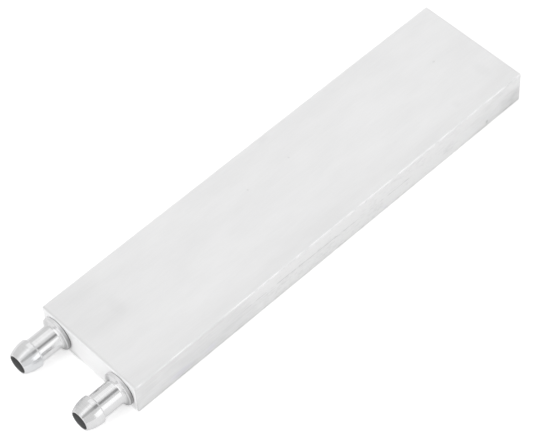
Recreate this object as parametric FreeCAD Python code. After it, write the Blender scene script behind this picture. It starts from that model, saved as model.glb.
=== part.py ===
import FreeCAD, Part
import os
from math import cos, radians, tan

# Liquid cooling cold plate: an extruded aluminium multi-channel body closed by two
# brazed end caps, with two turned aluminium hose barbs pressed into the port end.
#
# Frame, in millimetres: the origin is the centre of the plate's bottom face. +Z is up
# through the thickness, +Y runs along the length, and the hose barbs point towards -Y.
# Coolant enters one barb, runs up one half of the body, turns round at the far end and
# comes back through the other half.

# ---------------------------------------------------------------- plate, outside
PLATE_LENGTH = 160.0
PLATE_WIDTH = 40.0
PLATE_THICKNESS = 12.0
LONG_EDGE_BREAK = 0.3  # chamfer along the four long edges
PORT_END_RADIUS = 0.9  # rounding round the outline of the end face with the ports
RETURN_END_RADIUS = 0.4  # the far end is only lightly rounded

# ---------------------------------------------------------------- plate, inside
SKIN_THICKNESS = 2.2  # metal between a channel and the top or bottom face
SIDE_WALL = 3.0
DIVIDER_WALL = 2.0  # keeps the flow out apart from the flow back
FINS_PER_SIDE = 3
FIN_THICKNESS = 1.2
FIN_ROOT_RADIUS = 0.4  # at every corner of a channel
MANIFOLD_LENGTH = 8.0  # fins milled away behind the ports
TURN_LENGTH = 10.0  # fins and divider milled away at the far end

# ---------------------------------------------------------------- end caps
PORT_CAP_THICKNESS = 5.0
RETURN_CAP_THICKNESS = 3.0
PORT_WALL_OFFSET = 0.65  # each bore opens this far inside the body's side wall
PORT_MOUTH_CHAMFER = 0.3  # lead-in for the spigot at the outer face

# ---------------------------------------------------------------- hose barbs
BORE_RADIUS = 3.0
SPIGOT_WALL = 0.9
SPIGOT_CLEARANCE = 0.02  # film of retaining compound round the spigot
SPIGOT_CHAMFER = 0.3
SHANK_WALL = 0.95
SHANK_LENGTH = 7.0
SHANK_ROOT_TAPER = 0.35  # left by the tool's corner where shank and flange meet
FLANGE_WIDTH = 1.65  # how far the flange stands out from the shank
FLANGE_BACK_CHAMFER = 0.25
FLANGE_RIM = 0.9  # from the port face to where the front edge starts to round
FLANGE_FRONT_RADIUS = 0.4
FLANGE_FACE_RISE = 0.45  # how far the coned front rises towards the shank
BARB_HEIGHT = 0.73  # how far the barb stands out from the shank
BARB_BACK_ANGLE = 48.0  # slope of the step that holds the hose, from the axis
BARB_LAND = 1.35
NOSE_LENGTH = 4.4
NOSE_BULGE = 0.2  # how far the nose stands out from a straight cone
TIP_WALL = 0.5
TIP_CHAMFER = 0.12

# ---------------------------------------------------------------- worked out
BODY_LENGTH = PLATE_LENGTH - PORT_CAP_THICKNESS - RETURN_CAP_THICKNESS
PORT_FACE_Y = -PLATE_LENGTH / 2
BODY_START_Y = PORT_FACE_Y + PORT_CAP_THICKNESS
BODY_END_Y = BODY_START_Y + BODY_LENGTH
PORT_HEIGHT = PLATE_THICKNESS / 2
CHANNEL_HEIGHT = PLATE_THICKNESS - 2 * SKIN_THICKNESS
CHAMBER_WIDTH = (PLATE_WIDTH - DIVIDER_WALL) / 2 - SIDE_WALL
CHANNELS_PER_SIDE = FINS_PER_SIDE + 1
CHANNEL_WIDTH = (CHAMBER_WIDTH - FINS_PER_SIDE * FIN_THICKNESS) / CHANNELS_PER_SIDE
CHANNEL_PITCH = CHANNEL_WIDTH + FIN_THICKNESS
SPIGOT_RADIUS = BORE_RADIUS + SPIGOT_WALL
SHANK_RADIUS = BORE_RADIUS + SHANK_WALL
TIP_RADIUS = BORE_RADIUS + TIP_WALL
BARB_RADIUS = SHANK_RADIUS + BARB_HEIGHT
FLANGE_RADIUS = SHANK_RADIUS + FLANGE_WIDTH
PORT_HOLE_RADIUS = SPIGOT_RADIUS + SPIGOT_CLEARANCE
PORT_OFFSET = PLATE_WIDTH / 2 - SIDE_WALL - PORT_WALL_OFFSET - BORE_RADIUS


def point(x, y, z):
    return FreeCAD.Vector(x, y, z)


def block(x_low, x_high, y_low, y_high, z_low, z_high):
    """A plain box between two corners."""
    corner = point(x_low, y_low, z_low)
    return Part.makeBox(x_high - x_low, y_high - y_low, z_high - z_low, corner)


def edges_along(shape, axis, keep=lambda centre: True):
    """The straight edges that run along one axis, and whose centre passes keep."""
    found = []
    for edge in shape.Edges:
        ends = edge.Vertexes
        if len(ends) != 2:
            continue
        run = (ends[1].Point - ends[0].Point).normalize()
        if abs(run.dot(axis)) > 0.999 and keep(edge.CenterOfMass):
            found.append(edge)
    return found


def broken_prism(y_low, y_high):
    """The plate's outline over a stretch of its length, with its long edges broken."""
    half = PLATE_WIDTH / 2
    prism = block(-half, half, y_low, y_high, 0, PLATE_THICKNESS)
    return prism.makeChamfer(LONG_EDGE_BREAK, edges_along(prism, point(0, 1, 0)))


def channel_core(x_low, y_low, y_high):
    """The hollow of one channel, with the rounded corners that an extrusion has."""
    core = block(
        x_low,
        x_low + CHANNEL_WIDTH,
        y_low,
        y_high,
        SKIN_THICKNESS,
        SKIN_THICKNESS + CHANNEL_HEIGHT,
    )
    return core.makeFillet(FIN_ROOT_RADIUS, edges_along(core, point(0, 1, 0)))


def channel_body():
    """The extrusion: four channels out, four back, opened up by milling at both ends."""
    channels = []
    for side in (-1, 1):
        for index in range(CHANNELS_PER_SIDE):
            inner_edge = DIVIDER_WALL / 2 + index * CHANNEL_PITCH
            x_low = min(side * inner_edge, side * (inner_edge + CHANNEL_WIDTH))
            channels.append(channel_core(x_low, BODY_START_Y, BODY_END_Y))
    body = broken_prism(BODY_START_Y, BODY_END_Y).cut(channels)

    floor = SKIN_THICKNESS
    roof = SKIN_THICKNESS + CHANNEL_HEIGHT
    inner = DIVIDER_WALL / 2
    outer = inner + CHAMBER_WIDTH
    manifold_end = BODY_START_Y + MANIFOLD_LENGTH
    pockets = [
        block(-outer, -inner, BODY_START_Y, manifold_end, floor, roof),
        block(inner, outer, BODY_START_Y, manifold_end, floor, roof),
        block(-outer, outer, BODY_END_Y - TURN_LENGTH, BODY_END_Y, floor, roof),
    ]
    return body.cut(pockets)


def rounded_end(y_low, y_high, face_y, radius):
    """A block the size of a cap, rounded round the outline of its outer face."""
    half = PLATE_WIDTH / 2
    solid = block(-half, half, y_low, y_high, 0, PLATE_THICKNESS)

    def on_face(centre):
        return abs(centre.y - face_y) < 1e-6

    outline = edges_along(solid, point(1, 0, 0), on_face)
    outline += edges_along(solid, point(0, 0, 1), on_face)
    return solid.makeFillet(radius, outline)


def end_cap(y_low, y_high, face_y, radius):
    """A full-face cap, flush with the body all round."""
    rounded = rounded_end(y_low, y_high, face_y, radius)
    return broken_prism(y_low, y_high).common(rounded)


def port_hole(x):
    """The hole for one spigot, with its mouth chamfered at the outer face."""
    into = point(0, 1, 0)
    hole = Part.makeCylinder(
        PORT_HOLE_RADIUS, PORT_CAP_THICKNESS, point(x, PORT_FACE_Y, PORT_HEIGHT), into
    )
    mouth = Part.makeCone(
        PORT_HOLE_RADIUS + PORT_MOUTH_CHAMFER,
        PORT_HOLE_RADIUS,
        PORT_MOUTH_CHAMFER,
        point(x, PORT_FACE_Y, PORT_HEIGHT),
        into,
    )
    return hole.fuse(mouth)


def port_end_cap():
    cap = end_cap(PORT_FACE_Y, BODY_START_Y, PORT_FACE_Y, PORT_END_RADIUS)
    return cap.cut([port_hole(-PORT_OFFSET), port_hole(PORT_OFFSET)])


def return_end_cap():
    far_face = PLATE_LENGTH / 2
    return end_cap(BODY_END_Y, far_face, far_face, RETURN_END_RADIUS)


def on_port(x, solid):
    """Moves a piece turned about +Z, base at the origin, to a port and out along -Y."""
    placed = solid.copy()
    placed.rotate(point(0, 0, 0), point(1, 0, 0), 90)
    placed.translate(point(x, PORT_FACE_Y, PORT_HEIGHT))
    return placed


def section_point(radius, height):
    """A point of a turned outline, drawn in the half-plane y = 0."""
    return point(radius, 0, height)


def bevel(first, second):
    return Part.makeLine(section_point(*first), section_point(*second))


def round_corner(centre_radius, centre_height, corner_radius):
    """A quarter round at an outer corner, from its side up to its front face."""
    middle = corner_radius * cos(radians(45))
    return Part.Arc(
        section_point(centre_radius + corner_radius, centre_height),
        section_point(centre_radius + middle, centre_height + middle),
        section_point(centre_radius, centre_height + corner_radius),
    ).toShape()


def bulged_run(start, end, bulge):
    """An arc from one point to another that stands out from the straight line."""
    chord = end - start
    outward = point(chord.z, 0, -chord.x).normalize()
    return Part.Arc(start, start + chord / 2 + outward * bulge, end).toShape()


def turned_outline(edges):
    """Joins edges, in order, with straight runs into one closed wire."""
    joined = []
    for edge, following in zip(edges, edges[1:] + edges[:1]):
        joined.append(edge)
        end = edge.valueAt(edge.LastParameter)
        start = following.valueAt(following.FirstParameter)
        if end.distanceToPoint(start) > 1e-6:
            joined.append(Part.makeLine(end, start))
    return Part.Wire(joined)


def hose_barb():
    """One fitting, turned about +Z: z = 0 is the port face and +z is outwards."""
    spigot_end = -PORT_CAP_THICKNESS
    flange_face = FLANGE_RIM + FLANGE_FRONT_RADIUS
    root_start = flange_face + FLANGE_FACE_RISE
    root_end = root_start + SHANK_ROOT_TAPER
    shank_end = root_end + SHANK_LENGTH
    land_start = shank_end + BARB_HEIGHT / tan(radians(BARB_BACK_ANGLE))
    land_end = land_start + BARB_LAND
    tip_end = land_end + NOSE_LENGTH

    spigot_lead_in = bevel(
        (SPIGOT_RADIUS - SPIGOT_CHAMFER, spigot_end),
        (SPIGOT_RADIUS, spigot_end + SPIGOT_CHAMFER),
    )
    spigot_side = bevel(
        (SPIGOT_RADIUS, spigot_end + SPIGOT_CHAMFER),
        (SPIGOT_RADIUS, 0),
    )
    flange_back_edge = bevel(
        (FLANGE_RADIUS - FLANGE_BACK_CHAMFER, 0),
        (FLANGE_RADIUS, FLANGE_BACK_CHAMFER),
    )
    flange_front_edge = round_corner(
        FLANGE_RADIUS - FLANGE_FRONT_RADIUS,
        FLANGE_RIM,
        FLANGE_FRONT_RADIUS,
    )
    shank_root = bevel(
        (SHANK_RADIUS + SHANK_ROOT_TAPER, root_start),
        (SHANK_RADIUS, root_end),
    )
    barb_step = bevel((SHANK_RADIUS, shank_end), (BARB_RADIUS, land_start))
    nose = bulged_run(
        section_point(BARB_RADIUS, land_end),
        section_point(TIP_RADIUS, tip_end - TIP_CHAMFER),
        NOSE_BULGE,
    )
    tip_edge = bevel(
        (TIP_RADIUS, tip_end - TIP_CHAMFER),
        (TIP_RADIUS - TIP_CHAMFER, tip_end),
    )
    bore_side = bevel((BORE_RADIUS, tip_end), (BORE_RADIUS, spigot_end))
    outline = turned_outline(
        [
            spigot_lead_in,
            spigot_side,
            flange_back_edge,
            flange_front_edge,
            shank_root,
            barb_step,
            nose,
            tip_edge,
            bore_side,
        ]
    )
    return Part.Face(outline).revolve(point(0, 0, 0), point(0, 0, 1), 360)


def pieces():
    """Every piece of the plate by its name."""
    made = {
        "channel_body": channel_body(),
        "port_end_cap": port_end_cap(),
        "return_end_cap": return_end_cap(),
    }
    for name, x in (("inlet", -PORT_OFFSET), ("outlet", PORT_OFFSET)):
        made[name + "_hose_barb"] = on_port(x, hose_barb())
    return made


os.makedirs("parts", exist_ok=True)
for piece_name, piece in pieces().items():
    (solid,) = piece.Solids
    solid.exportStep("parts/" + piece_name + ".step")
    print(piece_name, "valid", solid.isValid(), "volume", round(solid.Volume, 2))
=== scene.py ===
from math import cos, pi, radians, sin, tan

import bpy
from mathutils import Matrix, Vector


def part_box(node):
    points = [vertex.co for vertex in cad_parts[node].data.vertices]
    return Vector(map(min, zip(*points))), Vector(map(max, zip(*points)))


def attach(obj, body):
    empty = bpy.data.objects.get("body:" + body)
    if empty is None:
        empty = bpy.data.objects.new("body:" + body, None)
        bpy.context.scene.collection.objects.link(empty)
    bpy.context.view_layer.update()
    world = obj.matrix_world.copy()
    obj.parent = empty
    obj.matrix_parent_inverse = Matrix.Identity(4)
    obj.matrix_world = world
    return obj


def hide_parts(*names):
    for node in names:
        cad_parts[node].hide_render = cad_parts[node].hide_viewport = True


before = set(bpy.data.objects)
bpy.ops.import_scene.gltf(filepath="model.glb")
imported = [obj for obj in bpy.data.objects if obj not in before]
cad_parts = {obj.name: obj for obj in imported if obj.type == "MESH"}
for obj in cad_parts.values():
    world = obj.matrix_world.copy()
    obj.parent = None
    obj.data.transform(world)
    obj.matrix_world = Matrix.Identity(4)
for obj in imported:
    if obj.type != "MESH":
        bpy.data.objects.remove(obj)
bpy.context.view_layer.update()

# The plate's faces and the fittings' axes, in metres, as the CAD has them.
CAP_LOW, CAP_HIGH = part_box("port_end_cap")
HALF_WIDTH = CAP_HIGH.x
TOP = CAP_HIGH.z
MIDDLE = TOP / 2
PORT_FACE = CAP_LOW.y
FAR_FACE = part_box("return_end_cap")[1].y
PORT_OFFSET = sum(corner.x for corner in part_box("outlet_hose_barb")) / 2
MM = 0.001


# ------------------------------------------------------------------ camera
LENS_MM = 149.41
SENSOR_MM = 36


def make_camera():
    """A long lens, looking down the plate from beyond its port end.

    The azimuth is measured from straight in front of the ports, towards +X.
    """
    azimuth, elevation, roll = radians(48.711), radians(53.29), radians(-3.603)
    distance, shift_right, shift_up = 0.67376, -0.0062, -0.0023
    back = Vector((sin(azimuth) * cos(elevation), -cos(azimuth) * cos(elevation), sin(elevation)))
    level_right = Vector((cos(azimuth), sin(azimuth), 0))
    level_up = back.cross(level_right)
    right = level_right * cos(roll) + level_up * sin(roll)
    up = level_up * cos(roll) - level_right * sin(roll)
    place = back * distance + right * shift_right + up * shift_up

    data = bpy.data.cameras.new("camera")
    data.sensor_width = SENSOR_MM
    data.lens = LENS_MM
    camera = bpy.data.objects.new("camera", data)
    turn = Matrix((right, up, back)).transposed().to_4x4()
    camera.matrix_world = Matrix.Translation(place) @ turn
    bpy.context.scene.collection.objects.link(camera)
    bpy.context.scene.camera = camera


# ------------------------------------------------------------------ node helpers
class Nodes:
    """A short way to write a material's nodes. Lengths are in metres."""

    def __init__(self, name):
        self.material = bpy.data.materials.new(name)
        self.material.use_nodes = True
        self.tree = self.material.node_tree
        self.tree.nodes.clear()

    def add(self, kind, **settings):
        """A new node of a kind, with its own settings."""
        node = self.tree.nodes.new(kind)
        for key, value in settings.items():
            setattr(node, key, value)
        return node

    def link(self, value, socket):
        """Joins value to the socket, or sets it there where it is a plain number."""
        if isinstance(value, bpy.types.NodeSocket):
            self.tree.links.new(value, socket)
        else:
            socket.default_value = value

    def math(self, operation, first, second=None):
        node = self.add("ShaderNodeMath", operation=operation)
        self.link(first, node.inputs[0])
        if second is not None:
            self.link(second, node.inputs[1])
        return node.outputs[0]

    def position(self):
        """The point in the piece's own frame, which is the part's frame for its pieces."""
        return self.add("ShaderNodeTexCoord").outputs["Object"]

    def axes(self, vector):
        split = self.add("ShaderNodeSeparateXYZ")
        self.link(vector, split.inputs[0])
        return split.outputs

    def radius_about_ports(self, place):
        """How far a point is from the axis of the nearer fitting."""
        x, _, z = self.axes(place)
        across = self.math("SUBTRACT", self.math("ABSOLUTE", x), PORT_OFFSET)
        height = self.math("SUBTRACT", z, MIDDLE)
        squares = [self.math("MULTIPLY", side, side) for side in (across, height)]
        return self.math("SQRT", self.total(squares))

    def normal(self):
        """X, Y and Z of the way that the face looks."""
        return self.axes(self.add("ShaderNodeNewGeometry").outputs["True Normal"])

    def stretched(self, vector, scale, offset=(0, 0, 0)):
        """vector times scale, plus offset. A larger scale makes a noise finer that way."""
        node = self.add("ShaderNodeMapping", vector_type="POINT")
        self.link(vector, node.inputs["Vector"])
        node.inputs["Location"].default_value = offset
        node.inputs["Scale"].default_value = scale
        return node.outputs[0]

    def noise(self, vector, detail=2.0, roughness=0.5):
        node = self.add("ShaderNodeTexNoise")
        self.link(vector, node.inputs["Vector"])
        node.inputs["Scale"].default_value = 1
        node.inputs["Detail"].default_value = detail
        node.inputs["Roughness"].default_value = roughness
        return node.outputs["Fac"]

    def fade(self, value, low, high, to_low=0.0, to_high=1.0):
        """value, eased from to_low at low to to_high at high."""
        node = self.add("ShaderNodeMapRange", interpolation_type="SMOOTHSTEP")
        self.link(value, node.inputs["Value"])
        node.inputs["From Min"].default_value = low
        node.inputs["From Max"].default_value = high
        node.inputs["To Min"].default_value = to_low
        node.inputs["To Max"].default_value = to_high
        return node.outputs[0]

    def patch(self, vector, centre, size, inner=0.3):
        """1 inside a soft ellipsoid round centre, 0 outside it; centre and size are in mm.

        inner is the share of the size up to which it stays 1.
        """
        scale = [1 / (length * MM) for length in size]
        offset = [-place * MM * by for place, by in zip(centre, scale)]
        reach = self.add("ShaderNodeVectorMath", operation="LENGTH")
        self.link(self.stretched(vector, scale, offset), reach.inputs[0])
        return self.fade(reach.outputs["Value"], 1.0, inner)

    def total(self, values):
        result = values[0]
        for value in values[1:]:
            result = self.math("ADD", result, value)
        return result

    def product(self, values):
        result = values[0]
        for value in values[1:]:
            result = self.math("MULTIPLY", result, value)
        return result

    def only_at(self, mask, factor):
        """A brightness of factor where mask is 1, and of 1 where it is 0."""
        drop = self.math("SUBTRACT", 1.0, factor)
        return self.math("SUBTRACT", 1.0, self.math("MULTIPLY", mask, drop))

    def blend(self, share, first, second):
        """first where share is 0, second where it is 1; both numbers or both colours."""
        # A Mix node keeps its number sockets and its colour sockets in different places.
        numbers = first.type == "VALUE"
        kind, first_input, output = ("FLOAT", 2, 0) if numbers else ("RGBA", 6, 2)
        node = self.add("ShaderNodeMix", data_type=kind)
        self.link(share, node.inputs[0])
        self.link(first, node.inputs[first_input])
        self.link(second, node.inputs[first_input + 1])
        return node.outputs[output]

    def bump(self, height, strength, distance):
        node = self.add("ShaderNodeBump")
        self.link(height, node.inputs["Height"])
        node.inputs["Strength"].default_value = strength
        node.inputs["Distance"].default_value = distance
        return node.outputs[0]

    def tinted(self, colour, brightness):
        """colour times brightness, which may be a socket."""
        scale = self.add("ShaderNodeVectorMath", operation="SCALE")
        scale.inputs[0].default_value = colour
        self.link(brightness, scale.inputs["Scale"])
        return scale.outputs[0]

    def principled(self, colour, roughness, metallic, normal):
        shader = self.add("ShaderNodeBsdfPrincipled")
        self.link(colour, shader.inputs["Base Color"])
        self.link(roughness, shader.inputs["Roughness"])
        self.link(metallic, shader.inputs["Metallic"])
        self.link(normal, shader.inputs["Normal"])
        self.finish(shader)

    def finish(self, shader):
        """Makes shader the material's surface."""
        output = self.add("ShaderNodeOutputMaterial")
        self.tree.links.new(shader.outputs[0], output.inputs["Surface"])


# ------------------------------------------------------------------ materials
# Colours of the bare metal, with a painted cool reflection tint and a painted bore shade. Places
# and sizes of patches are in mm.
PLATE_SILVER = (0.92, 0.92, 0.922)
PLATE_LAVENDER = (0.915, 0.91, 0.942)
TURNED_SILVER = (0.89, 0.89, 0.895)
# A painted cool reflection tint, used on the inlet's nose.
TURNED_COOL_REFLECTION = (0.876, 0.888, 0.905)
BORE_PAINTED_SHADE = (0.33, 0.33, 0.335)

# How much brighter each mark or painted light makes the plate, or darker where it is negative.
CLOUDING = 0.006
SANDING_LINES = 0.008
WORN_EDGE = 0.03
# Painted light: the whole +X side is made a little brighter.
PAINTED_SIDE_LIGHT = 0.045
# A painted highlight line along the top of the +X chamfer.
PAINTED_EDGE_HIGHLIGHT = 0.04
# Painted shade on the +X chamfer, deeper towards the far end.
CHAMFER_SHADE_NEAR, CHAMFER_SHADE_FAR = -0.13, -0.165

TOP_SPECK = -0.09
TOP_SMUDGE = -0.022
TOP_DARKER = -0.03

SIDE_STREAKS = 0.02
SIDE_BLOTCHES = 0.025
SIDE_SCUFFS = 0.06
SIDE_FLECK = 0.1
SIDE_PALER = 0.038
# Painted light on the lower +X side, fading out upwards.
SIDE_LOW_PAINTED_LIGHT = 0.02
SIDE_NEAR_PORTS = -0.05
# Painted shade along the +X side's foot.
SIDE_FOOT_SHADE = -0.08
SIDE_BAND = 0.08
SIDE_THIN_LINE = -0.17
SIDE_DARK_PATCHES = -0.06
SIDE_NICK = -0.2

# Painted light over the whole port end.
PAINTED_END_LIGHT = 0.05
END_UPPER_EDGE = -0.06
# Painted shade beside the fittings and low on the port end.
END_PAINTED_SHADE = -0.13

# What the marks do to the roughness, the metallic share and the relief.
END_ROUGHER = 0.15
END_METALLIC = 0.35
WORN_SMOOTHER = 0.18
FLANGE_ROUGHER = 0.3
NICK_DEPTH = 4.0


def top_marks(n, place):
    """The top face: specks, smudged places from handling, a darker corner at the inlet and a
    darker strip towards +X.
    """
    x, y, _ = n.axes(place)
    specks = n.total(
        [
            n.patch(place, (-8.0, -9.5, 12), (0.5, 0.4, 1)),
            n.patch(place, (-8.0, 7.5, 12), (0.55, 0.4, 1)),
            n.patch(place, (-2.7, 65.0, 12), (0.5, 0.7, 1)),
        ]
    )
    dark_patches = n.total(
        [
            n.patch(place, (-18.5, 7.0, 12), (1.6, 3.0, 1)),
            n.patch(place, (-19.6, 15.7, 12), (1.2, 2.4, 1)),
            n.patch(place, (-5.0, -64.5, 12), (5.0, 3.0, 1)),
            n.patch(place, (10.0, 73.0, 12), (5.0, 2.6, 1)),
            n.patch(place, (13.8, 57.5, 12), (2.2, 2.0, 1)),
            n.patch(place, (18.6, -74.0, 12), (5.0, 12.0, 1)),
        ]
    )
    inlet_half = n.fade(x, 2 * MM, -3 * MM)
    near_ports = n.fade(y, -58 * MM, -68 * MM)
    darker_corner = n.math("MULTIPLY", inlet_half, near_ports)
    return n.total(
        [
            n.math("MULTIPLY", specks, TOP_SPECK),
            n.math("MULTIPLY", dark_patches, TOP_SMUDGE),
            n.fade(x, 11.5 * MM, 17 * MM, 0.0, TOP_DARKER),
            n.math("MULTIPLY", darker_corner, TOP_DARKER),
        ]
    )


def side_nick(n, place):
    """1 in the small dent on the +X side."""
    return n.patch(place, (20, 65.0, 2.1), (1, 0.8, 1.2))


def side_tint(n, place):
    """1 where the +X side has a faint lavender cast."""
    return n.total(
        [
            n.patch(place, (20, -63.0, 2.5), (1, 6.0, 2.2)),
            n.patch(place, (20, -51.5, 2.5), (1, 2.6, 2.0)),
            n.patch(place, (20, 22.5, 2.0), (1, 5.5, 1.8)),
        ]
    )


def side_marks(n, place):
    """The +X side: saw and handling marks, paler over part of its length, painted light low down
    and painted shade along its foot.
    """
    _, y, z = n.axes(place)

    # Rubbed all over, most in the middle of the length.
    streaks = n.noise(n.stretched(place, (900, 90, 1500)), 4, 0.6)
    blotches = n.noise(n.stretched(place, (200, 110, 330)), 3, 0.6)
    scuffed = n.product([n.fade(y, -40 * MM, -25 * MM), n.fade(y, 60 * MM, 35 * MM, 0.3, 1.0)])
    scuffs = n.noise(n.stretched(place, (1000, 420, 900)), 3, 0.65)
    scuffs = n.fade(scuffs, 0.32, 0.68, -SIDE_SCUFFS, SIDE_SCUFFS)
    flecks = n.fade(n.noise(n.stretched(place, (1500, 700, 1500)), 2), 0.62, 0.7)
    flecks = n.math("MULTIPLY", flecks, scuffed)
    paler = n.math("MULTIPLY", n.fade(y, -1 * MM, 8 * MM), n.fade(y, 66 * MM, 56 * MM))

    # Painted shade along the foot, with an uneven top.
    foot_noise = n.noise(n.stretched(place, (600, 330, 300)), 3)
    foot_top = n.fade(foot_noise, 0.3, 0.7, 0.3 * MM, 1.5 * MM)
    foot = n.fade(n.math("SUBTRACT", foot_top, z), 0.0, 0.5 * MM, 0.0, SIDE_FOOT_SHADE)

    # A paler band along the upper half, and the thin scratch below it.
    band = n.product(
        [
            n.fade(y, -38 * MM, -33 * MM),
            n.fade(y, 14 * MM, 6 * MM),
            n.fade(z, 6.8 * MM, 7.6 * MM),
            n.fade(n.noise(n.stretched(place, (700, 140, 900)), 3), 0.35, 0.55, 0.3, 1.0),
        ]
    )
    line_height = n.fade(y, -40 * MM, 30 * MM, 7.3 * MM, 5.9 * MM)
    line_gap = n.math("ABSOLUTE", n.math("SUBTRACT", z, line_height))
    thin_line = n.product(
        [
            n.fade(line_gap, 0.35 * MM, 0.1 * MM),
            n.fade(n.noise(n.stretched(place, (30, 190, 30)), 2), 0.38, 0.5),
            n.fade(y, -40 * MM, -34 * MM),
            n.fade(y, 34 * MM, 28 * MM),
        ]
    )

    # Darker patches, the darkest of them low at the far end.
    far_dark_patch = n.patch(place, (20, 75.5, 5.3), (1, 6.5, 4.2))
    dark_patches = n.total(
        [
            n.patch(place, (20, 17.5, 3.5), (1, 3.6, 2.4)),
            n.patch(place, (20, 48.0, 4.0), (1, 4.5, 3.5)),
            n.patch(place, (20, 76.0, 1.5), (1, 8.0, 5.0)),
            n.patch(place, (20, 79.0, 2.8), (1, 4.6, 4.6), 0.6),
            n.patch(place, (20, 67.0, 0.2), (1, 13.0, 3.0), 0.5),
            n.math("MULTIPLY", far_dark_patch, 1.3),
            n.patch(place, (20, -61.0, 1.5), (1, 6.5, 2.6)),
        ]
    )
    return n.total(
        [
            n.fade(streaks, 0.3, 0.7, -SIDE_STREAKS, SIDE_STREAKS),
            n.fade(blotches, 0.35, 0.65, -SIDE_BLOTCHES, SIDE_BLOTCHES),
            n.math("MULTIPLY", paler, SIDE_PALER),
            n.math("MULTIPLY", scuffed, scuffs),
            # Painted light low on the side.
            n.fade(z, 1 * MM, 7 * MM, SIDE_LOW_PAINTED_LIGHT, 0.0),
            n.fade(y, -42 * MM, -28 * MM, SIDE_NEAR_PORTS, 0.0),
            # Painted shade along the foot.
            foot,
            n.math("MULTIPLY", band, SIDE_BAND),
            n.math("MULTIPLY", thin_line, SIDE_THIN_LINE),
            n.math("MULTIPLY", flecks, SIDE_FLECK),
            n.math("MULTIPLY", dark_patches, SIDE_DARK_PATCHES),
            n.math("MULTIPLY", side_nick(n, place), SIDE_NICK),
        ]
    )


def end_marks(n, place):
    """The port end: painted light over all of it, painted shade beside the fittings and low down,
    and darker along its upper edge.
    """
    # Painted shade beside the fittings and along the foot.
    dark_patches = n.total(
        [
            n.patch(place, (19.3, -80, 3.0), (1.6, 2, 2.6)),
            n.math("MULTIPLY", n.patch(place, (-6.5, -80, 0.2), (4.2, 2, 3.6)), 1.6),
            n.patch(place, (6.5, -80, 0.2), (1.6, 2, 1.6)),
        ]
    )
    upper_edge = n.fade(n.axes(place)["Z"], 10.6 * MM, 11.3 * MM, 0.0, END_UPPER_EDGE)
    return n.total([PAINTED_END_LIGHT, upper_edge, n.math("MULTIPLY", dark_patches, END_PAINTED_SHADE)])


def worn_edges(n, place):
    """1 where the plate's long and short edges are rubbed smooth, in places."""
    x, y, z = n.axes(place)
    near_x = n.fade(n.math("ABSOLUTE", x), HALF_WIDTH - 0.7 * MM, HALF_WIDTH - 0.1 * MM)
    near_y = n.fade(n.math("ABSOLUTE", y), FAR_FACE - 0.7 * MM, FAR_FACE - 0.1 * MM)
    near_z = n.fade(n.math("ABSOLUTE", n.math("SUBTRACT", z, MIDDLE)), 5.3 * MM, 5.9 * MM)
    edges = n.math("MULTIPLY", near_x, near_z)
    edges = n.math("MAXIMUM", edges, n.math("MULTIPLY", near_x, near_y))
    edges = n.math("MAXIMUM", edges, n.math("MULTIPLY", near_y, near_z))
    rubbed = n.fade(n.noise(n.stretched(place, (700, 260, 700)), 3), 0.42, 0.6)
    return n.math("MULTIPLY", edges, rubbed)


def plate_metal():
    """Fine-sanded aluminium, with the marks that each face carries."""
    n = Nodes("plate_metal")
    place = n.position()
    _, y, z = n.axes(place)
    looks = n.normal()
    top = n.fade(looks["Z"], 0.8, 0.95)
    side = n.fade(looks["X"], 0.8, 0.95)
    end = n.fade(looks["Y"], -0.5, -0.9)

    # All over: slow clouding, and the fine lines of the sanding.
    cloud = n.noise(n.stretched(place, (45, 30, 45)), 3)
    along = n.noise(n.stretched(place, (2600, 160, 2600)), 2)
    across = n.noise(n.stretched(place, (160, 2600, 2600)), 2)
    grain = n.blend(end, along, across)
    wear = worn_edges(n, place)

    # The small break between the top and the +X side, darkened as painted shade, with a painted
    # highlight line along its top.
    chamfer = n.product([n.fade(looks["X"], 0.5, 0.6), n.fade(looks["X"], 0.9, 0.8)])
    painted_edge_highlight = n.product(
        [
            chamfer,
            n.fade(z, TOP - 0.24 * MM, TOP - 0.1 * MM),
            n.fade(y, -79 * MM, -78 * MM),
            n.fade(y, 76 * MM, 62 * MM),
            n.fade(n.noise(n.stretched(place, (200, 200, 200)), 2), 0.36, 0.5, 0.4, 1.0),
        ]
    )
    chamfer_painted_shade = n.fade(y, 68 * MM, 77 * MM, CHAMFER_SHADE_NEAR, CHAMFER_SHADE_FAR)

    brightness = n.total(
        [
            1.0,
            n.fade(cloud, 0.3, 0.7, -CLOUDING, CLOUDING),
            n.fade(grain, 0.3, 0.7, -SANDING_LINES, SANDING_LINES),
            n.math("MULTIPLY", top, top_marks(n, place)),
            n.math("MULTIPLY", side, side_marks(n, place)),
            n.math("MULTIPLY", end, end_marks(n, place)),
            # Painted light over the whole +X side.
            n.math("MULTIPLY", side, PAINTED_SIDE_LIGHT),
            n.math("MULTIPLY", wear, WORN_EDGE),
            # Painted shade over the chamfer.
            n.math("MULTIPLY", chamfer, chamfer_painted_shade),
            # The painted highlight line along the chamfer's top.
            n.math("MULTIPLY", painted_edge_highlight, PAINTED_EDGE_HIGHLIGHT),
        ]
    )
    silver = n.tinted(PLATE_SILVER, brightness)
    lavender = n.tinted(PLATE_LAVENDER, brightness)
    colour = n.blend(n.math("MULTIPLY", side_tint(n, place), side), silver, lavender)
    sanded = n.fade(n.noise(n.stretched(place, (300, 60, 300)), 2), 0.3, 0.7, 0.36, 0.44)
    roughness = n.total(
        [
            sanded,
            n.math("MULTIPLY", end, END_ROUGHER),
            n.math("MULTIPLY", wear, -WORN_SMOOTHER),
        ]
    )
    dent = n.math("MULTIPLY", side_nick(n, place), side)
    relief = n.total([grain, n.math("MULTIPLY", dent, -NICK_DEPTH)])
    metallic = n.fade(end, 0.0, 1.0, 1.0, END_METALLIC)
    n.principled(colour, roughness, metallic, n.bump(relief, 0.25, 0.02 * MM))
    return n.material


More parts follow.
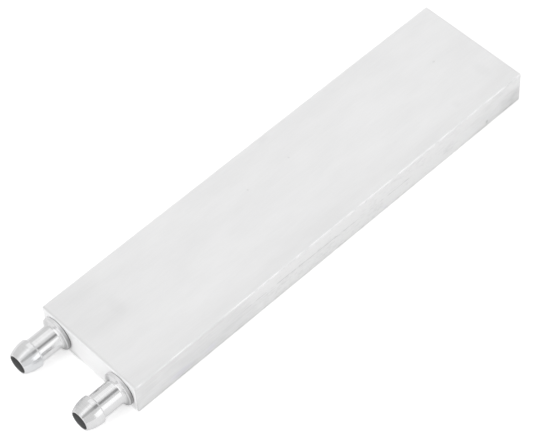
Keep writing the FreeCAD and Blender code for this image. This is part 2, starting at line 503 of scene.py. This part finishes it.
def turned_metal():
    """Bright turned aluminium, with fine rings, painted shade on the flanges and painted darker
    reflections on the shanks and the outlet's nose.

    turned_up grows upwards and towards -X. The painted shade on the flanges is weaker there.
    """
    n = Nodes("turned_metal")
    place = n.position()
    x, y, z = n.axes(place)
    outwards = n.math("SUBTRACT", PORT_FACE, y)
    reach = n.radius_about_ports(place)
    across = n.math("SUBTRACT", x, n.math("MULTIPLY", n.math("SIGN", x), PORT_OFFSET))
    turned_up = n.math("SUBTRACT", n.math("SUBTRACT", z, MIDDLE), across)

    # Painted shade on the flange, darkest low and towards +X: the joint behind it, its rim, its
    # coned face and a line on that face.
    joint = n.fade(outwards, 0.34 * MM, 0.2 * MM)
    rim = n.product([n.fade(reach, 5.38 * MM, 5.48 * MM), n.fade(outwards, 1.2 * MM, 1.1 * MM)])
    face = n.product(
        [
            n.fade(reach, 4.2 * MM, 4.5 * MM),
            n.fade(outwards, 1.15 * MM, 1.25 * MM),
            n.fade(outwards, 2.2 * MM, 1.9 * MM),
        ]
    )
    line_gap = n.math("ABSOLUTE", n.math("SUBTRACT", reach, 4.9 * MM))
    painted_face_line = n.math("MULTIPLY", face, n.fade(line_gap, 0.24 * MM, 0.08 * MM))

    # Painted darker reflections on both shanks near the plate, and on the outlet's nose.
    painted_dark_reflections = n.total(
        [
            1.0,
            n.math("MULTIPLY", n.patch(place, (10.0, -83.4, 8.3), (2.6, 6.8, 2.6)), -0.42),
            n.math("MULTIPLY", n.patch(place, (10.0, -93.2, 9.4), (2.6, 4.5, 2.6)), -0.16),
            n.math("MULTIPLY", n.patch(place, (-16.3, -82.4, 8.8), (2.4, 3.0, 2.2)), -0.14),
        ]
    )
    rings = n.noise(n.stretched(place, (120, 9000, 120)), 2)
    stains = n.noise(n.stretched(place, (260, 160, 260)), 3)
    ringed = n.total(
        [n.fade(rings, 0.3, 0.7, 0.96, 1.03), n.fade(stains, 0.35, 0.65, -0.025, 0.015)]
    )
    brightness = n.product(
        [
            ringed,
            # Painted shade on the joint, rim, coned face and its line, then the painted darker
            # reflections.
            n.only_at(joint, n.fade(turned_up, -3.0 * MM, 4.0 * MM, 0.3, 0.72)),
            n.only_at(rim, n.fade(turned_up, -4.5 * MM, 4.5 * MM, 0.42, 1.0)),
            n.only_at(face, n.fade(turned_up, -7.0 * MM, -1.0 * MM, 0.7, 1.0)),
            n.only_at(painted_face_line, n.fade(turned_up, -1.0 * MM, 4.0 * MM, 0.82, 1.0)),
            painted_dark_reflections,
        ]
    )
    silver = n.tinted(TURNED_SILVER, brightness)
    cool_reflection = n.tinted(TURNED_COOL_REFLECTION, brightness)
    # A painted cool reflection tint on the inlet's nose.
    inlet_nose_reflection = n.patch(place, (-10.0, -92.3, 7.0), (5.5, 5.0, 6.0))
    colour = n.blend(inlet_nose_reflection, silver, cool_reflection)
    roughness = n.total(
        [
            n.fade(stains, 0.3, 0.7, 0.13, 0.19),
            n.math("MULTIPLY", joint, FLANGE_ROUGHER),
            n.math("MULTIPLY", rim, FLANGE_ROUGHER),
        ]
    )
    n.principled(colour, roughness, 1.0, n.bump(rings, 0.2, 0.01 * MM))
    return n.material


def drilled_metal():
    """The bore's wall: duller, painted dark grey for the shade deep in the bore, with coarse
    rings from the drill.
    """
    n = Nodes("drilled_metal")
    rings = n.noise(n.stretched(n.position(), (300, 5000, 300)), 3)
    # Painted shade: the bore's wall is dark grey.
    colour = n.tinted(BORE_PAINTED_SHADE, n.fade(rings, 0.3, 0.7, 0.85, 1.1))
    n.principled(colour, 0.5, 0.7, n.bump(rings, 0.3, 0.02 * MM))
    return n.material


# ------------------------------------------------------------------ hose barbs
# A fitting's outline, in mm: radius, then distance out from the port face, then the
# radius that the corner there is rounded to. It goes from the spigot's inner end out to
# where the nose starts.
BARB_OUTLINE = (
    (3.6, -5.0, 0.0),
    (3.9, -4.7, 0.0),
    (3.9, 0.0, 0.0),
    (5.35, 0.0, 0.03),
    (5.6, 0.25, 0.1),
    (5.6, 1.14, 0.35),
    (4.3, 1.75, 0.15),
    (3.95, 2.1, 0.3),
    (3.95, 9.35, 0.3),
    (4.68, 9.757, 0.3),
    (4.68, 11.107, 0.0),
)
BORE_RADIUS = 3.0
TIP_RADIUS = 3.5
TIP_END = 15.507
TIP_CHAMFER = 0.12
TIP_ROUNDING = 0.08
CHAMFER_ROUNDING = 0.05
NOSE_BULGE = 0.2

# How finely the line is cut up: along the nose, round a corner and once round the axis.
NOSE_STEPS = 24
CORNER_STEPS = 8
ROUND_STEPS = 192
# A corner takes up at most this share of the straight lines that meet in it.
CORNER_SHARE = 0.45
# Lines that meet at more than twice this angle go straight on, so nothing is rounded.
NEARLY_STRAIGHT = radians(89.5)
# Faces that meet at more than this angle keep a hard edge between them.
SHARP_EDGE = radians(40)


def rounded(points):
    """Corners (radius, height, rounding) turned into a fine line of (radius, height)."""
    line = [points[0][:2]]
    for before, corner, after in zip(points, points[1:], points[2:]):
        place = Vector(corner[:2])
        back = Vector(before[:2]) - place
        on = Vector(after[:2]) - place
        half_angle = back.angle(on) / 2
        if corner[2] == 0 or half_angle > NEARLY_STRAIGHT:
            line.append(tuple(place))
            continue
        room = min(back.length, on.length) * CORNER_SHARE
        reach = min(corner[2] / tan(half_angle), room)
        start = place + back.normalized() * reach
        end = place + on.normalized() * reach
        for step in range(CORNER_STEPS + 1):
            t = step / CORNER_STEPS
            line.append(tuple(start * (1 - t) ** 2 + place * 2 * t * (1 - t) + end * t * t))
    line.append(points[-1][:2])
    return line


def nose_line(start, end, bulge, count):
    """Points on the arc from start to end that stands out from the straight line by bulge."""
    chord = Vector(end) - Vector(start)
    outward = Vector((chord.y, -chord.x)).normalized()
    line = []
    for step in range(1, count):
        t = step / count
        line.append(tuple(Vector(start) + chord * t + outward * bulge * 4 * t * (1 - t)))
    return line


def barb_profile():
    """The closed line that a fitting is turned from, as (radius, height) in mm."""
    nose_end = (TIP_RADIUS, TIP_END - TIP_CHAMFER)
    outside = rounded(BARB_OUTLINE)
    nose = nose_line(outside[-1], nose_end, NOSE_BULGE, NOSE_STEPS)
    inner_end = BARB_OUTLINE[0][1]
    tip = rounded(
        (
            (*nose[-1], 0.0),
            (*nose_end, TIP_ROUNDING),
            (TIP_RADIUS - TIP_CHAMFER, TIP_END, CHAMFER_ROUNDING),
            (BORE_RADIUS, TIP_END, TIP_ROUNDING),
            (BORE_RADIUS, inner_end, 0.0),
        )
    )
    return outside + nose + tip[1:]


def make_barb(node, outside, inside):
    """One turned fitting in its solid's place: rounder corners and a steeper step.

    outside and inside are the materials of the turned metal and of the drilled bore.
    """
    low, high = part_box(node)
    centre_x = (low.x + high.x) / 2
    centre_z = (low.z + high.z) / 2
    profile = barb_profile()
    corners = []
    for radius, height in profile:
        for step in range(ROUND_STEPS):
            angle = 2 * pi * step / ROUND_STEPS
            x = centre_x + radius * MM * cos(angle)
            z = centre_z + radius * MM * sin(angle)
            corners.append((x, PORT_FACE - height * MM, z))
    # The line's last two stretches are the bore's wall and the spigot's inner end.
    bore_start = len(profile) - 2
    faces = []
    bored = []
    for ring in range(len(profile)):
        bored += [ring >= bore_start] * ROUND_STEPS
        here = ring * ROUND_STEPS
        there = (ring + 1) % len(profile) * ROUND_STEPS
        for step in range(ROUND_STEPS):
            following = (step + 1) % ROUND_STEPS
            faces.append((here + step, here + following, there + following, there + step))

    mesh = bpy.data.meshes.new(node + "_turned")
    mesh.from_pydata(corners, [], faces)
    mesh.shade_smooth()
    mesh.set_sharp_from_angle(angle=SHARP_EDGE)
    mesh.materials.append(outside)
    mesh.materials.append(inside)
    mesh.polygons.foreach_set("material_index", bored)
    barb = bpy.data.objects.new(node + "_turned", mesh)
    bpy.context.scene.collection.objects.link(barb)
    weighted = barb.modifiers.new("weighted_normals", "WEIGHTED_NORMAL")
    weighted.keep_sharp = True
    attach(barb, "root")
    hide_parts(node)


# ------------------------------------------------------------------ studio
WORLD_STRENGTH = 0.72
FLOOR_SIZE = 6
FLOOR_GAP = 0.02 * MM
FLOOR_GREY = (0.86, 0.86, 0.86)
# How much the floor glows by itself, in view and in what the metal mirrors.
VIEW_GLOW = 0.4
METAL_GLOW = 0.062
SIDE_DISTANCE = 1.0
LAMP_DISTANCE = 1.2
# The grey card, which changes brightness between these shares of its length.
CARD_CENTRE = (0.0613, -0.13, 0.1264)
CARD_WIDTH = 0.048
CARD_LENGTH = 0.3
CARD_BRIGHTNESS = 0.3
PALE_END = 1.6
PALE_UP_TO = 0.05
DARK_FROM = 0.27


def floor_material():
    """A plain surface that takes shadows, and looks pale in view and in the metal."""
    n = Nodes("floor")
    diffuse = n.add("ShaderNodeBsdfDiffuse")
    diffuse.inputs["Color"].default_value = (*FLOOR_GREY, 1)
    rays = n.add("ShaderNodeLightPath").outputs
    mirrored = n.math("MAXIMUM", rays["Is Glossy Ray"], rays["Is Transmission Ray"])
    in_metal = n.math("MULTIPLY", mirrored, METAL_GLOW)
    in_view = n.math("MULTIPLY", rays["Is Camera Ray"], VIEW_GLOW)
    light = n.add("ShaderNodeEmission")
    n.link(n.math("ADD", in_view, in_metal), light.inputs["Strength"])
    both = n.add("ShaderNodeAddShader")
    n.tree.links.new(diffuse.outputs[0], both.inputs[0])
    n.tree.links.new(light.outputs[0], both.inputs[1])
    n.finish(both)
    return n.material


def make_floor():
    """A wide floor just under the part, which takes its shadow."""
    bpy.ops.mesh.primitive_plane_add(size=FLOOR_SIZE, location=(0, 0, -FLOOR_GAP))
    floor = bpy.context.object
    floor.name = "floor"
    floor.data.materials.append(floor_material())


def make_world():
    """Even white light from all round."""
    world = bpy.data.worlds.new("studio")
    world.use_nodes = True
    bpy.context.scene.world = world
    background = world.node_tree.nodes["Background"]
    background.inputs["Color"].default_value = (1, 1, 1, 1)
    background.inputs["Strength"].default_value = WORLD_STRENGTH


def aimed(place, upright=(0, 0, 1)):
    """Turns a lamp there towards the part, its long side as near to upright as it goes."""
    back = Vector(place).normalized()
    right = Vector(upright).cross(back).normalized()
    turn = Matrix((right, back.cross(right), back)).transposed().to_4x4()
    return Matrix.Translation(place) @ turn


def softbox(name, way, distance, size, radiance, upright=(0, 0, 1)):
    """A soft lamp that way from the part; radiance is what a mirror would show of it."""
    data = bpy.data.lights.new(name, "AREA")
    data.shape = "RECTANGLE"
    data.size, data.size_y = size
    # A flat lamp's radiance is its power over four times its area.
    data.energy = radiance * 4 * size[0] * size[1]
    lamp = bpy.data.objects.new(name, data)
    lamp.matrix_world = aimed(Vector(way).normalized() * distance, upright)
    lamp.visible_camera = False
    bpy.context.scene.collection.objects.link(lamp)
    return lamp


def lens_card(centre, width, length, brightness):
    """A grey card along the fittings, that their bright metal mirrors as a dark streak.

    brightness is that of its end over the plate. The other end is PALE_END times as bright.
    """
    bpy.ops.mesh.primitive_plane_add(size=1)
    card = bpy.context.object
    card.name = "lens_card"
    facing = Vector((centre[0], 0, centre[2])).normalized()
    along = Vector((0, 1, 0))
    turn = Matrix((along.cross(facing), along, facing)).transposed().to_4x4()
    card.matrix_world = Matrix.Translation(centre) @ turn @ Matrix.Diagonal((width, length, 1, 1))
    card.visible_camera = False
    card.visible_shadow = False
    card.visible_diffuse = False
    n = Nodes("lens_card")
    grey = n.add("ShaderNodeEmission")
    along_card = n.axes(n.position())["Y"]
    strength = n.fade(along_card, PALE_UP_TO, DARK_FROM, brightness * PALE_END, brightness)
    n.link(strength, grey.inputs["Strength"])
    n.finish(grey)
    card.data.materials.append(n.material)


def make_studio():
    """The floor, the world and the lamps: name, way, distance, size and radiance."""
    make_world()
    make_floor()
    along = (0, 1, 0)
    softbox("side_panel", (0.86, 0.31, 0.3), SIDE_DISTANCE, (1.0, 0.64), 0.32)
    softbox("key", (-0.45, 0.4, 0.8), LAMP_DISTANCE, (0.8, 0.8), 0.18, along)
    softbox("overhead", (-0.1, 0.0, 0.99), LAMP_DISTANCE, (0.36, 1.6), 0.15, along)
    softbox("nose_panel", (-0.12, -0.32, 0.94), LAMP_DISTANCE, (0.8, 0.9), 0.1, along)
    softbox("port_panel", (0.1, -0.87, 0.48), LAMP_DISTANCE, (1.1, 1.0), 0.28)
    # The lamp that lights the port end isn't mirrored in the fittings.
    port_lamp = softbox("port_lamp", (0.15, -0.95, 0.3), LAMP_DISTANCE, (0.9, 0.6), 2.1)
    port_lamp.visible_glossy = False
    lens_card(CARD_CENTRE, CARD_WIDTH, CARD_LENGTH, CARD_BRIGHTNESS)


# ------------------------------------------------------------------ the part
make_camera()
make_studio()
plate = plate_metal()
turned = turned_metal()
drilled = drilled_metal()
for name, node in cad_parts.items():
    if "barb" in name:
        make_barb(name, turned, drilled)
    else:
        node.data.materials.clear()
        node.data.materials.append(plate)

scene = bpy.context.scene
scene.view_settings.view_transform = "Standard"
